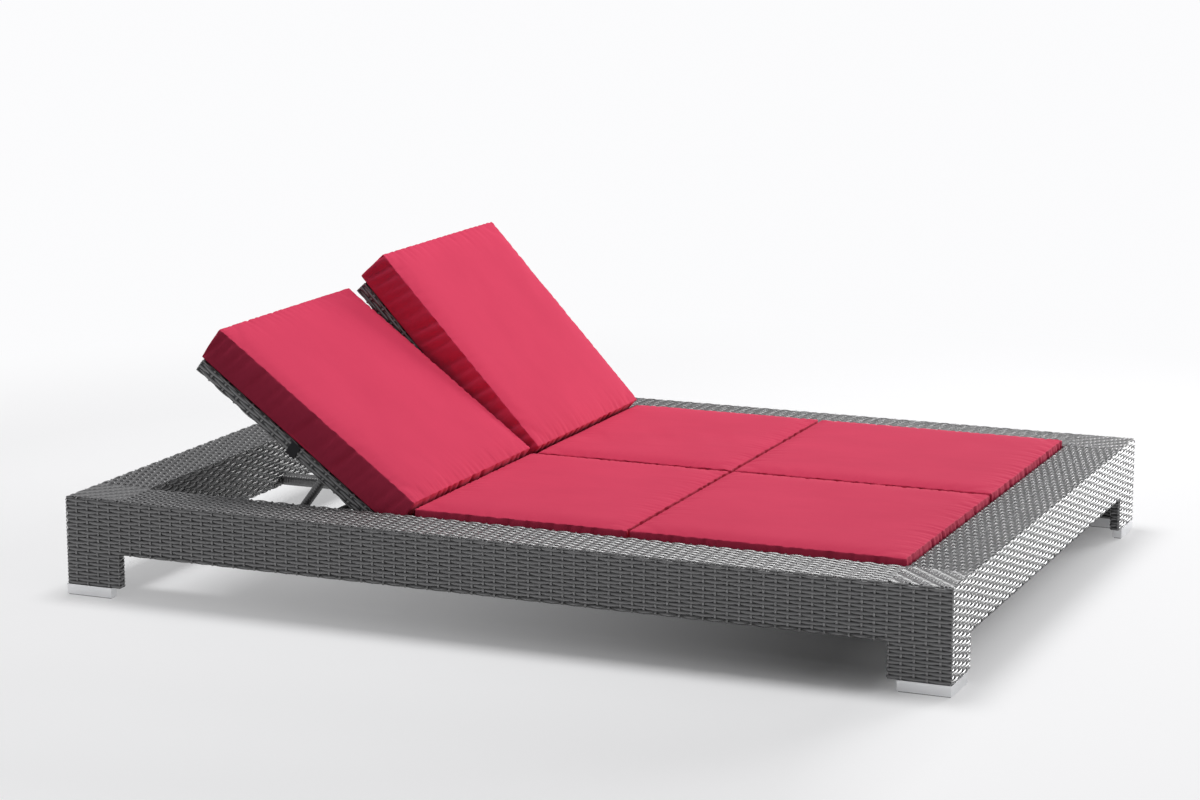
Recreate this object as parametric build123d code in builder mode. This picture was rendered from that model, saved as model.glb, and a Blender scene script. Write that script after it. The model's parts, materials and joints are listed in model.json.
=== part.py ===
from build123d import *
from math import cos, radians, sin
import os

os.makedirs("parts", exist_ok=True)

# Low double sun lounger, in millimetres. X runs across, Y from foot end to head end, Z up.
# The origin is on the floor under the middle of the platform. Left is -X and foot is -Y.

# Platform
overall_length = 2000
overall_width = 1500
frame_height = 220
rail_width = 135
rail_depth = 121
leg_thickness = 26
cap_height = 24
cap_length = 112
cap_thickness = 22

# Woven skin on rails and legs
skin = 4
skin_round = 6

# Welded tubes inside the rails
chord = 22
chord_wall = 2
hoop_bar = 6
hoop_width = 30
side_hoop_inset = 101
side_hoops = 5
end_hoop_inset = 204
end_hoops = 3
core_wall = 2
core_plate = 5

# Foot caps, glides and bolts
cap_wall = 3
cap_round = 1.5
glide_reach = 2
glide_height = 11
bolt_radius = 3
bolt_head_radius = 5.5
bolt_head_height = 6
bolt_socket_radius = 2.9
bolt_socket_depth = 3
bolt_end = 6

# Beams
beam_lift = 2
beam_height = 25
beam_wall = 2
cross_beam_width = 40
hinge_beam_width = 48
hinge_beam_shift = 11
centre_beam_width = 40
centre_beam_height = 24
wrap = 3
wrap_round = 6

# Seat panel and backrest panels
panel_thickness = 31
panel_skin = 3
panel_round = 2
panel_tube_wall = 2
seat_gap = 2
seat_hinge_gap = 18
seat_bars = 5

# Backrests and their hinges
back_bay_length = 617
flat_gap = 0.5
left_angle = 36.5
angle_step = 10.5
back_side_gap = 4
back_middle_gap = 8
back_start = 12
back_end = 608
hinge_inset = 83.5
ear_thickness = 6
ear_radius = 9
ear_base_length = 44
ear_base_width = 20
ear_base_height = 4
lug_thickness = 5
lug_gap = 0.5
pin_radius = 4
pin_head_radius = 6.5
pin_head_height = 3

# Props that hold the backrests up
prop_reach = 246
foot_bar_lift = 25.2
prop_turns_per_back_turn = 2.45
prop_core_radius = 9
prop_wrap_radius = 12
prop_eye_radius = 11
prop_eye_width = 20
prop_gap = 4
foot_bar_radius = 8
foot_bar_gap = 3
prop_bar_gap = 4
prop_swing_room = 28
wrap_start = 17
wrap_end_gap = 9
catch_place = 110
catch_length = 14
catch_width = 14
catch_depth = 22
catch_grip = 4

# Toothed racks
rack_plate = 5
rack_floor = 3
rack_back = 4
rack_back_height = 24
rack_offset = 4
tooth_gap = 1.2
notch_depth = 7
ramp_angle = 3
wall_angle = 1.5
rack_notches = 4

# Cushions and straps
cushion_rest = 0.3
seat_cushion_edge = 75
back_cushion_edge = 81
cushion_crown = 9
cushion_bulge = 4
cushion_draw = 5
cushion_side_gap = 1.5
cushion_seam_gap = 0.6
cushion_end_round = 7
foot_cushion_length = 600
cushion_foot_gap = 2
cushion_hinge_gap = 43
back_cushion_start = 42
back_cushion_end = 613
strap_place = 326
strap_width = 24
strap_thickness = 1

# Lengthwise places of a cushion's sections, and how much of the full crown and waist each has
cushion_place_shares = (0.15, 0.5, 0.85)
cushion_full_shares = (0.8, 1, 0.8)
cushion_edge_full_share = 0.4
cushion_end_full_share = 0.2

# Running clearance round pins and bolts, free clearance in windows, and overrun of cuts
running = 0.05
clearance = 0.3
overrun = 5

# Derived places
half_length = overall_length / 2
half_width = overall_width / 2
bay_half_width = half_width - rail_width
bay_half_length = half_length - rail_width
rail_bottom = frame_height - rail_depth
rail_middle = frame_height - rail_depth / 2
cavity_width = rail_width - 2 * skin
cavity_depth = rail_depth - 2 * skin
chord_face_x = bay_half_width + skin
chord_face_y = bay_half_length + skin
core_thickness = leg_thickness - 2 * skin
core_length = rail_width - 2 * skin
bolt_x = half_width - cap_thickness / 2
bolt_y = half_length - cap_thickness / 2
beam_bottom = rail_bottom + beam_lift
beam_top = beam_bottom + beam_height
foot_beam_y = cross_beam_width / 2 - bay_half_length
hinge_y = bay_half_length - back_bay_length
hinge_beam_y = hinge_y - hinge_beam_shift
panel_tube = panel_thickness - 2 * panel_skin
panel_wrap = panel_tube + 2 * panel_skin
seat_top = beam_top + panel_thickness
seat_half_width = bay_half_width - seat_gap
seat_start_y = seat_gap - bay_half_length
seat_end_y = hinge_y - seat_hinge_gap
seat_beam_y = (seat_start_y + seat_end_y) / 2
hinge_z = beam_top + flat_gap + panel_thickness / 2
back_width = bay_half_width - back_side_gap - back_middle_gap / 2
back_x = back_middle_gap / 2 + back_width / 2
hinge_offset = back_width / 2 - hinge_inset
window_half_width = back_width / 2 - panel_wrap
leg_offset = window_half_width - prop_gap - prop_wrap_radius
prop_head_height = hinge_z + prop_reach * sin(radians(left_angle))
prop_drop_angle = radians((prop_turns_per_back_turn - 1) * left_angle)
prop_length = (prop_head_height - beam_bottom - foot_bar_lift) / sin(prop_drop_angle)
bar_half_length = window_half_width - foot_bar_gap
prop_bars_y = (
    prop_reach - prop_swing_room - panel_tube / 2,
    prop_reach + prop_length + foot_bar_radius + prop_bar_gap + panel_tube / 2,
)

sides = {"left": -1, "right": 1}
ends = {"foot": -1, "head": 1}
back_angles = {"left": left_angle, "right": left_angle + angle_step}


def save(piece, name):
    """Label a finished piece and write it as its own STEP file."""
    piece.part.label = name
    export_step(piece.part, f"parts/{name}.step")


def fill(x_range, y_range, z_range, mode=Mode.ADD):
    """Add or cut a block between pairs of limits of the current workplane."""
    limits = (x_range, y_range, z_range)
    middle = tuple((low + high) / 2 for low, high in limits)
    with Locations(middle):
        Box(*(abs(high - low) for low, high in limits), mode=mode)


def fill_angle(side, end, inset, thickness, length, z_range, mode=Mode.ADD):
    """Add or cut an upright angle section, inset from the platform's outer faces at one corner."""
    outer_x = half_width - inset
    outer_y = half_length - inset
    for reach_x, reach_y in ((thickness, length), (length, thickness)):
        fill((side * (outer_x - reach_x), side * outer_x), (end * (outer_y - reach_y), end * outer_y), z_range, mode)


def lying_plane(angle):
    """Plane of a backrest at its hinge: x across, y up along the panel, z square to it."""
    turn = radians(angle)
    return Plane(origin=(0, hinge_y, hinge_z), x_dir=(1, 0, 0), z_dir=(0, -sin(turn), cos(turn)))


def cross_plane(base, place):
    """Plane square to the long direction of a lying plane, with z of that plane as its y."""
    return Plane(origin=base.from_local_coords((0, place, 0)), x_dir=base.x_dir, z_dir=-base.y_dir)


def side_plane(base, place):
    """Plane square to X, at a place across, with y and z of the lying plane as its x and y."""
    return Plane(origin=base.from_local_coords((place, 0, 0)), x_dir=base.y_dir, z_dir=base.x_dir)


def along_side(side):
    """Plane square to a side rail at its middle, with Z as its y."""
    origin = (side * (bay_half_width + rail_width / 2), 0, rail_middle)
    return Plane(origin=origin, x_dir=(1, 0, 0), z_dir=(0, -1, 0))


def along_end(end):
    """Plane square to an end rail at its middle, with Z as its y."""
    origin = (0, end * (bay_half_length + rail_width / 2), rail_middle)
    return Plane(origin=origin, x_dir=(0, 1, 0), z_dir=(1, 0, 0))


# Rails
def rail_frame(plane, run, inset, count):
    """Four corner tubes joined by evenly spaced flat-bar hoops."""
    spacing = (run - hoop_width - 2 * inset) / (count - 1)
    with BuildPart() as frame:
        with BuildSketch(plane):
            with GridLocations(cavity_width - chord, cavity_depth - chord, 2, 2):
                Rectangle(chord, chord)
        extrude(amount=run / 2, both=True)
        for number in range(count):
            place = (number - (count - 1) / 2) * spacing
            with BuildSketch(plane.offset(place)):
                Rectangle(cavity_width, cavity_depth)
                Rectangle(cavity_width - 2 * hoop_bar, cavity_depth - 2 * hoop_bar, mode=Mode.SUBTRACT)
            extrude(amount=hoop_width / 2, both=True)
        with BuildSketch(plane):
            with GridLocations(cavity_width - chord, cavity_depth - chord, 2, 2):
                Rectangle(chord - 2 * chord_wall, chord - 2 * chord_wall)
        extrude(amount=run / 2 + overrun, both=True, mode=Mode.SUBTRACT)
    return frame


def side_cover(side):
    """Woven skin of a long rail, with its corners, open to the end rails and the legs."""
    inner = side * bay_half_width
    inner_wall = (side * (bay_half_width - overrun), side * chord_face_x)
    with BuildPart() as cover:
        fill((inner, side * half_width), (-half_length, half_length), (rail_bottom, frame_height))
        outer_edges = [edge for edge in cover.edges() if side * (edge.center().X - inner) > skin]
        fillet(outer_edges, skin_round)
        fill(
            (side * chord_face_x, side * (half_width - skin)),
            (skin - half_length, half_length - skin),
            (rail_bottom + skin, frame_height - skin),
            Mode.SUBTRACT,
        )
        for end in ends.values():
            fill(
                inner_wall,
                (end * chord_face_y, end * (half_length - skin)),
                (rail_bottom + skin, frame_height - skin),
                Mode.SUBTRACT,
            )
            fill_angle(
                side, end, skin, core_thickness, core_length, (rail_bottom - overrun, rail_bottom + skin), Mode.SUBTRACT
            )
        for middle, width in cross_beams.values():
            reach = width / 2 + clearance
            fill(
                inner_wall,
                (middle - reach, middle + reach),
                (beam_bottom - clearance, beam_top + clearance),
                Mode.SUBTRACT,
            )
    return cover


def end_cover(end):
    """Woven skin of a short rail, open at both ends where it meets the long rails."""
    with BuildPart() as cover:
        fill(
            (-bay_half_width, bay_half_width),
            (end * bay_half_length, end * half_length),
            (rail_bottom, frame_height),
        )
        outer_edges = [
            edge for edge in cover.edges().filter_by(Axis.X) if end * edge.center().Y > half_length - skin
        ]
        fillet(outer_edges, skin_round)
        fill(
            (-half_width, half_width),
            (end * chord_face_y, end * (half_length - skin)),
            (rail_bottom + skin, frame_height - skin),
            Mode.SUBTRACT,
        )
        if end == ends["head"]:
            reach = centre_beam_width / 2 - wrap + clearance
            fill(
                (-reach, reach),
                (end * (bay_half_length - overrun), end * chord_face_y),
                (beam_bottom + wrap - clearance, beam_bottom + centre_beam_height - wrap + clearance),
                Mode.SUBTRACT,
            )
    return cover


# Legs
def leg_core(side, end):
    """Welded angle of flat tubes under the rail frame, with an end plate tapped for the cap bolt."""
    hollow = core_thickness - 2 * core_wall
    with BuildPart() as core:
        fill_angle(side, end, skin, core_thickness, core_length, (cap_height, rail_bottom + skin))
        fill_angle(
            side,
            end,
            skin + core_wall,
            hollow,
            core_length - 2 * core_wall,
            (cap_height + core_plate, rail_bottom + skin + overrun),
            Mode.SUBTRACT,
        )
        with BuildSketch(Plane.XY.offset(cap_height)):
            with Locations((side * bolt_x, end * bolt_y)):
                Circle(bolt_radius + running)
        extrude(amount=core_plate, mode=Mode.SUBTRACT)
    return core


def leg_cover(side, end):
    """Woven sleeve round an angle leg, between its cap and the rail."""
    with BuildPart() as cover:
        fill_angle(side, end, 0, leg_thickness, rail_width, (cap_height, rail_bottom))
        fillet(cover.edges().filter_by(Axis.Z), skin_round)
        fill_angle(
            side, end, skin, core_thickness, core_length, (cap_height - overrun, rail_bottom + overrun), Mode.SUBTRACT
        )
    return cover


def foot_cap(side, end):
    """Folded aluminium cap of a leg, flush with its two outer faces and open below."""
    with BuildPart() as cap:
        fill_angle(side, end, 0, cap_thickness, cap_length, (glide_reach, cap_height))
        fillet(cap.edges().filter_by(Axis.Z), cap_round)
        fill_angle(
            side,
            end,
            cap_wall,
            cap_thickness - 2 * cap_wall,
            cap_length - 2 * cap_wall,
            (glide_reach - overrun, cap_height - cap_wall),
            Mode.SUBTRACT,
        )
        with BuildSketch(Plane.XY.offset(cap_height - cap_wall)):
            with Locations((side * bolt_x, end * bolt_y)):
                Circle(bolt_radius + clearance)
        extrude(amount=cap_wall, mode=Mode.SUBTRACT)
    return cap


def glide_set():
    """Plastic strips that close the caps from below and stand on the floor."""
    inset = cap_wall + running
    with BuildPart() as plugs:
        for side in sides.values():
            for end in ends.values():
                fill_angle(side, end, inset, cap_thickness - 2 * inset, cap_length - 2 * inset, (0, glide_height))
    return plugs


def corner_bolts():
    """Socket bolt inside each cap, up into the leg's end plate."""
    head_top = cap_height - cap_wall
    head_bottom = head_top - bolt_head_height
    with BuildPart() as bolts:
        with BuildSketch(Plane.XY.offset(head_bottom)):
            with GridLocations(2 * bolt_x, 2 * bolt_y, 2, 2):
                Circle(bolt_head_radius)
        extrude(amount=bolt_head_height)
        with BuildSketch(Plane.XY.offset(head_top)):
            with GridLocations(2 * bolt_x, 2 * bolt_y, 2, 2):
                Circle(bolt_radius)
        extrude(amount=cap_wall + core_plate + bolt_end)
        with BuildSketch(Plane.XY.offset(head_bottom)):
            with GridLocations(2 * bolt_x, 2 * bolt_y, 2, 2):
                RegularPolygon(bolt_socket_radius, 6)
        extrude(amount=bolt_socket_depth, mode=Mode.SUBTRACT)
    return bolts


# Beams: place along Y of the middle, and width
cross_beams = {
    "foot_beam": (foot_beam_y, cross_beam_width),
    "seat_beam": (seat_beam_y, cross_beam_width),
    "hinge_beam": (hinge_beam_y, hinge_beam_width),
}


def cross_beam(middle, width):
    """Rectangular tube across the bay, welded to the inner tubes of the side rails."""
    with BuildPart() as beam:
        with BuildSketch(Plane.YZ):
            with Locations((middle, beam_bottom + beam_height / 2)):
                Rectangle(width, beam_height)
                Rectangle(width - 2 * beam_wall, beam_height - 2 * beam_wall, mode=Mode.SUBTRACT)
        extrude(amount=chord_face_x, both=True)
    return beam


centre_beam_start = hinge_beam_y + hinge_beam_width / 2
centre_beam_plane = Plane(
    origin=(0, centre_beam_start, beam_bottom + centre_beam_height / 2), x_dir=(-1, 0, 0), z_dir=(0, 1, 0)
)


def centre_beam_tube():
    """Rectangular tube from the hinge beam to the head rail's inner tube."""
    width = centre_beam_width - 2 * wrap
    height = centre_beam_height - 2 * wrap
    with BuildPart() as beam:
        with BuildSketch(centre_beam_plane):
            Rectangle(width, height)
            Rectangle(width - 2 * beam_wall, height - 2 * beam_wall, mode=Mode.SUBTRACT)
        extrude(amount=chord_face_y - centre_beam_start)
    return beam


def centre_beam_sleeve():
    """Wound strand round the centre beam, as one sleeve."""
    with BuildPart() as sleeve:
        with BuildSketch(centre_beam_plane):
            RectangleRounded(centre_beam_width, centre_beam_height, wrap_round)
            Rectangle(centre_beam_width - 2 * wrap, centre_beam_height - 2 * wrap, mode=Mode.SUBTRACT)
        extrude(amount=bay_half_length - centre_beam_start)
    return sleeve


# Flat panels
def weld_tubes(long_bars, cross_bars, y_range):
    """Add a flat welded frame: long tubes with open ends along y, and cross tubes between them."""
    bore = panel_tube - 2 * panel_tube_wall
    y_middle = sum(y_range) / 2
    y_span = y_range[1] - y_range[0]
    x_middle = (min(long_bars) + max(long_bars)) / 2
    x_span = max(long_bars) - min(long_bars)
    long_places = [(x, y_middle, 0) for x in long_bars]
    cross_places = [(x_middle, y, 0) for y in cross_bars]
    with Locations(*long_places):
        Box(panel_tube, y_span, panel_tube)
    with Locations(*cross_places):
        Box(x_span, panel_tube, panel_tube)
    with Locations(*long_places):
        Box(bore, y_span + 2 * overrun, bore, mode=Mode.SUBTRACT)
    with Locations(*cross_places):
        Box(x_span, bore, bore, mode=Mode.SUBTRACT)


def seat_frame():
    """Tube frame of the seat panel, inside its woven skin."""
    edge = seat_half_width - panel_skin - panel_tube / 2
    low = seat_start_y + panel_skin
    high = seat_end_y - panel_skin
    first = low + panel_tube / 2
    spacing = (high - low - panel_tube) / (seat_bars - 1)
    plane = Plane.XY.offset(beam_top + panel_thickness / 2)
    cross_bars = [first + number * spacing for number in range(seat_bars)]
    with BuildPart(plane) as frame:
        weld_tubes((-edge, 0, edge), cross_bars, (low, high))
    return frame


def seat_weave():
    """Woven skin round the seat frame, closed on all sides."""
    x_outer = seat_half_width
    with BuildPart() as weave:
        fill((-x_outer, x_outer), (seat_start_y, seat_end_y), (beam_top, seat_top))
        fillet(weave.edges().filter_by(Axis.Y), panel_round)
        fill(
            (panel_skin - x_outer, x_outer - panel_skin),
            (seat_start_y + panel_skin, seat_end_y - panel_skin),
            (beam_top + panel_skin, seat_top - panel_skin),
            Mode.SUBTRACT,
        )
    return weave


# Backrests
def lug_places(side):
    """Places across of the hinge lugs of one backrest."""
    offset = ear_thickness / 2 + lug_gap + lug_thickness / 2
    hinges = [side * back_x + way * hinge_offset for way in (-1, 1)]
    return [hinge + way * offset for hinge in hinges for way in (-1, 1)]


def side_bars(side):
    """Places across of the two side bars of one backrest."""
    edge = back_width / 2 - panel_skin - panel_tube / 2
    return (side * back_x - edge, side * back_x + edge)


def back_frame(side, angle):
    """Tube frame of a backrest with its hinge lugs and the holes for the prop pins."""
    plane = lying_plane(angle)
    low = back_start + panel_skin
    high = back_end - panel_skin
    cross_bars = (low + panel_tube / 2, *prop_bars_y, high - panel_tube / 2)
    with BuildPart(plane) as frame:
        weld_tubes(side_bars(side), cross_bars, (low, high))
        for place in lug_places(side):
            with BuildSketch(side_plane(plane, place)):
                Circle(ear_radius)
                with Locations((low / 2, 0)):
                    Rectangle(low, 2 * ear_radius)
                Circle(pin_radius + running, mode=Mode.SUBTRACT)
            extrude(amount=lug_thickness / 2, both=True)
        with BuildSketch(side_plane(plane, side * back_x)):
            with Locations((prop_reach, 0)):
                Circle(pin_radius + running)
        extrude(amount=window_half_width + panel_skin + panel_tube_wall + overrun, both=True, mode=Mode.SUBTRACT)
    return frame


def back_weave(side, angle):
    """Woven mat on top of a backrest, wrapped round its border tubes and open below."""
    plane = lying_plane(angle)
    middle = side * back_x
    half = panel_thickness / 2
    tube = panel_tube / 2
    outer = back_width / 2
    with BuildPart(plane) as weave:
        fill((middle - outer, middle + outer), (back_start, back_end), (-half, half))
        fillet(weave.edges().filter_by(Axis(plane.origin, plane.y_dir)), panel_round)
        low = back_start + panel_skin
        high = back_end - panel_skin
        x_inner = (middle - outer + panel_skin, middle + outer - panel_skin)
        for bar in side_bars(side):
            fill((bar - tube, bar + tube), (low, high), (-tube, tube), Mode.SUBTRACT)
        fill(x_inner, (low, low + panel_tube), (-tube, tube), Mode.SUBTRACT)
        fill(x_inner, (high - panel_tube, high), (-tube, tube), Mode.SUBTRACT)
        fill(
            (middle - window_half_width, middle + window_half_width),
            (back_start + panel_wrap, back_end - panel_wrap),
            (-half - overrun, tube),
            Mode.SUBTRACT,
        )
        for bar in prop_bars_y:
            fill(x_inner, (bar - tube, bar + tube), (-tube, tube), Mode.SUBTRACT)
        reach = lug_thickness / 2 + clearance
        for place in lug_places(side):
            fill(
                (place - reach, place + reach),
                (back_start - overrun, back_start + panel_skin),
                (-ear_radius - clearance, ear_radius + clearance),
                Mode.SUBTRACT,
            )
        with BuildSketch(side_plane(plane, middle)):
            with Locations((prop_reach, 0)):
                Circle(pin_radius + clearance)
        extrude(amount=window_half_width + panel_skin, both=True, mode=Mode.SUBTRACT)
    return weave


def hinge_ear(side, way):
    """Upright ear on the hinge beam, between two lugs of a backrest."""
    place = side * back_x + way * side * hinge_offset
    plane = side_plane(lying_plane(0), place)
    drop = hinge_z - beam_top
    with BuildPart() as ear:
        with BuildSketch(plane):
            Circle(ear_radius)
            with Locations((0, -drop / 2)):
                Rectangle(2 * ear_radius, drop)
            Circle(pin_radius + running, mode=Mode.SUBTRACT)
        extrude(amount=ear_thickness / 2, both=True)
        fill(
            (place - ear_base_length / 2, place + ear_base_length / 2),
            (hinge_y - ear_base_width / 2, hinge_y + ear_base_width / 2),
            (beam_top, beam_top + ear_base_height),
        )
    return ear


def hinge_pin_set():
    """One headed pin through each ear and its two lugs."""
    reach = ear_thickness / 2 + lug_gap + lug_thickness
    with BuildPart() as pins:
        for side in sides.values():
            for way in (-1, 1):
                plane = side_plane(lying_plane(0), side * back_x + way * hinge_offset)
                with BuildSketch(plane):
                    Circle(pin_radius)
                extrude(amount=reach + clearance, both=True)
                for head in (reach + clearance, -reach - clearance - pin_head_height):
                    with BuildSketch(plane.offset(head)):
                        Circle(pin_head_radius)
                    extrude(amount=pin_head_height)
    return pins


# Props
def prop_angle(angle):
    """Direction of a prop in the upright plane along Y, with its backrest at this angle."""
    return angle - prop_turns_per_back_turn * angle


def prop_plane(angle):
    """Plane of a prop at its pins: y runs down along the legs."""
    turn = radians(prop_angle(angle))
    pivot = lying_plane(angle).from_local_coords((0, prop_reach, 0))
    return Plane(origin=pivot, x_dir=(1, 0, 0), z_dir=(0, -sin(turn), cos(turn)))


def foot_place(angle):
    """Y and Z of the foot bar's axis, with the backrest at this angle."""
    foot = prop_plane(angle).from_local_coords((0, prop_length, 0))
    return foot.Y, foot.Z


def leg_places(side):
    """Places across of the two legs of one prop."""
    return (side * back_x - leg_offset, side * back_x + leg_offset)


def prop_frame(side, angle):
    """Two tube legs with pin eyes, joined by the foot bar."""
    plane = prop_plane(angle)
    with BuildPart() as prop:
        for place in leg_places(side):
            with BuildSketch(cross_plane(plane, prop_length)):
                with Locations((place, 0)):
                    Circle(prop_core_radius)
            extrude(amount=prop_length)
            with BuildSketch(side_plane(plane, place)):
                Circle(prop_eye_radius)
            extrude(amount=prop_eye_width / 2, both=True)
        with BuildSketch(side_plane(plane, side * back_x)):
            with Locations((prop_length, 0)):
                Circle(foot_bar_radius)
        extrude(amount=bar_half_length, both=True)
        with BuildSketch(side_plane(plane, side * back_x)):
            Circle(pin_radius + running)
        extrude(amount=bar_half_length + overrun, both=True, mode=Mode.SUBTRACT)
    return prop


def prop_sleeves(side, angle):
    """Wound strand round both legs of a prop, as two sleeves."""
    plane = prop_plane(angle)
    end = prop_length - wrap_end_gap
    with BuildPart() as sleeves:
        with BuildSketch(cross_plane(plane, end)):
            with Locations(*[(place, 0) for place in leg_places(side)]):
                Circle(prop_wrap_radius)
                Circle(prop_core_radius, mode=Mode.SUBTRACT)
        extrude(amount=end - wrap_start)
    return sleeves


def prop_catch_pair(side, angle):
    """Plastic catches gripped round the legs of a prop."""
    plane = prop_plane(angle)
    end = catch_place + catch_length / 2
    with BuildPart() as catches:
        with BuildSketch(cross_plane(plane, end)):
            with Locations(*[(place, -(catch_depth + catch_grip) / 2) for place in leg_places(side)]):
                Rectangle(catch_width, catch_depth - catch_grip)
            with Locations(*[(place, 0) for place in leg_places(side)]):
                Circle(prop_wrap_radius + running, mode=Mode.SUBTRACT)
        extrude(amount=catch_length)
    return catches


def prop_pin_pair(side, angle):
    """Headed pins from the side bars of a backrest into the legs of its prop."""
    plane = lying_plane(angle)
    wall_inner = window_half_width + panel_skin + panel_tube_wall
    leg_inner = leg_offset - prop_eye_width / 2 - clearance
    with BuildPart() as pins:
        for way in (-1, 1):
            for low, high, radius in (
                (leg_inner, wall_inner, pin_radius),
                (wall_inner, wall_inner + pin_head_height, pin_head_radius),
                (leg_inner - pin_head_height, leg_inner, pin_head_radius),
            ):
                with BuildSketch(side_plane(plane, side * back_x + way * (low + high) / 2)):
                    with Locations((prop_reach, 0)):
                        Circle(radius)
                extrude(amount=(high - low) / 2, both=True)
    return pins


def tooth_point(angle, depth):
    """Point of a rack's outline under the foot bar's path."""
    place, height = foot_place(angle)
    return place, height - foot_bar_radius - tooth_gap - depth


def rack(side, way):
    """Toothed plate with a floor and a back plate, fixed to the side rail or the centre beam."""
    leg = side * back_x + way * leg_offset
    inward = -way
    plate_near = leg + inward * (prop_wrap_radius + rack_offset)
    plate_far = plate_near + inward * rack_plate
    wall = side * bay_half_width if way == side else side * centre_beam_width / 2
    outline = []
    for number in range(rack_notches):
        notch = back_angles["right"] - number * angle_step
        outline.append(tooth_point(notch + ramp_angle, 0))
        outline.append(tooth_point(notch, notch_depth))
        outline.append(tooth_point(notch - wall_angle, 0))
    start, end = outline[0][0], outline[-1][0]
    with BuildPart() as piece:
        with BuildSketch(Plane.YZ.offset(min(plate_near, plate_far))):
            with BuildLine():
                Polyline((start, beam_bottom), *outline, (end, beam_bottom), close=True)
            make_face()
        extrude(amount=rack_plate)
        fill((wall, plate_far), (start, end), (beam_bottom, beam_bottom + rack_floor))
        fill((wall, wall + inward * rack_back), (start, end), (beam_bottom, beam_bottom + rack_back_height))
    return piece


# Cushions
def cushion(base, x_range, y_range, floor, edge_height):
    """Crowned pad with drawn-in sides and rounded ends, lofted along the plane's y."""
    middle = sum(x_range) / 2
    widest = (x_range[1] - x_range[0]) / 2 - cushion_bulge
    low, high = y_range
    end_section = (
        widest - cushion_end_round / 2,
        edge_height - cushion_end_round,
        cushion_crown * cushion_end_full_share,
    )
    places = [low + cushion_end_round]
    places += [low + share * (high - low) for share in cushion_place_shares]
    places += [high - cushion_end_round]
    fullness = (cushion_edge_full_share, *cushion_full_shares, cushion_edge_full_share)
    sections = [(low, *end_section)]
    for place, full in zip(places, fullness):
        sections.append((place, widest - cushion_draw * full, edge_height, cushion_crown * full))
    sections.append((high, *end_section))
    with BuildPart() as pad:
        for place, half, height, crown in sections:
            top = floor + height
            reach = half + cushion_bulge
            with BuildSketch(cross_plane(base, place)):
                with BuildLine():
                    Line((middle - half, floor), (middle + half, floor))
                    ThreePointArc((middle + half, floor), (middle + reach, floor + height / 2), (middle + half, top))
                    ThreePointArc((middle + half, top), (middle, top + crown), (middle - half, top))
                    ThreePointArc((middle - half, top), (middle - reach, floor + height / 2), (middle - half, floor))
                make_face()
        loft(ruled=True)
    return pad


def strap_pair(side, angle):
    """Elastic straps round both side bars of a backrest, under the cushion."""
    plane = lying_plane(angle)
    half = panel_thickness / 2
    with BuildPart() as straps:
        for way in (-1, 1):
            outer = side * back_x + way * back_width / 2
            inner = side * back_x + way * window_half_width
            with BuildSketch(cross_plane(plane, strap_place + strap_width / 2)):
                with BuildLine():
                    Polyline(
                        (outer, half),
                        (outer + way * strap_thickness, half),
                        (outer + way * strap_thickness, -half - strap_thickness),
                        (inner - way * strap_thickness, -half - strap_thickness),
                        (inner - way * strap_thickness, panel_tube / 2),
                        (inner, panel_tube / 2),
                        (inner, -half),
                        (outer, -half),
                        close=True,
                    )
                make_face()
            extrude(amount=strap_width)
    return straps


seat_plane = Plane.XY.offset(seat_top)
ways = {"inner": -1, "outer": 1}

for end_name, end in ends.items():
    save(rail_frame(along_end(end), 2 * chord_face_x, end_hoop_inset, end_hoops), f"{end_name}_frame")
    save(end_cover(end), f"rail_cover_{end_name}")

for side_name, side in sides.items():
    run = overall_length - 2 * skin
    save(rail_frame(along_side(side), run, side_hoop_inset, side_hoops), f"side_frame_{side_name}")
    save(side_cover(side), f"rail_cover_{side_name}")
    for end_name, end in ends.items():
        corner = f"{end_name}_{side_name}"
        save(leg_core(side, end), f"leg_core_{corner}")
        save(leg_cover(side, end), f"leg_cover_{corner}")
        save(foot_cap(side, end), f"foot_cap_{corner}")

save(glide_set(), "glides")
save(corner_bolts(), "cap_bolts")

for name, (middle, width) in cross_beams.items():
    save(cross_beam(middle, width), name)
save(centre_beam_tube(), "centre_beam")
save(centre_beam_sleeve(), "centre_beam_wrap")
save(seat_frame(), "seat_frame")
save(seat_weave(), "seat_weave")
save(hinge_pin_set(), "hinge_pins")

for side_name, side in sides.items():
    angle = back_angles[side_name]
    for way_name, way in ways.items():
        save(hinge_ear(side, way), f"hinge_ear_{side_name}_{way_name}")
        save(rack(side, way * side), f"rack_{side_name}_{way_name}")
    save(back_frame(side, angle), f"back_frame_{side_name}")
    save(back_weave(side, angle), f"back_weave_{side_name}")
    save(prop_pin_pair(side, angle), f"prop_pins_{side_name}")
    save(strap_pair(side, angle), f"cushion_straps_{side_name}")
    save(prop_frame(side, angle), f"prop_frame_{side_name}")
    save(prop_sleeves(side, angle), f"prop_wrap_{side_name}")
    save(prop_catch_pair(side, angle), f"prop_catches_{side_name}")

    seat_x = sorted((side * (bay_half_width - cushion_side_gap), side * cushion_seam_gap / 2))
    back_half = back_width / 2
    back_x_range = (side * back_x - back_half, side * back_x + back_half)
    foot_start = cushion_foot_gap - bay_half_length
    foot_range = (foot_start, foot_start + foot_cushion_length - cushion_seam_gap / 2)
    middle_range = (foot_range[1] + cushion_seam_gap, hinge_y - cushion_hinge_gap)
    back_range = (back_cushion_start, back_cushion_end)
    back_floor = panel_thickness / 2 + cushion_rest
    foot = cushion(seat_plane, seat_x, foot_range, cushion_rest, seat_cushion_edge)
    middle_pad = cushion(seat_plane, seat_x, middle_range, cushion_rest, seat_cushion_edge)
    back = cushion(lying_plane(angle), back_x_range, back_range, back_floor, back_cushion_edge)
    save(foot, f"foot_cushion_{side_name}")
    save(middle_pad, f"middle_cushion_{side_name}")
    save(back, f"back_cushion_{side_name}")
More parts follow.
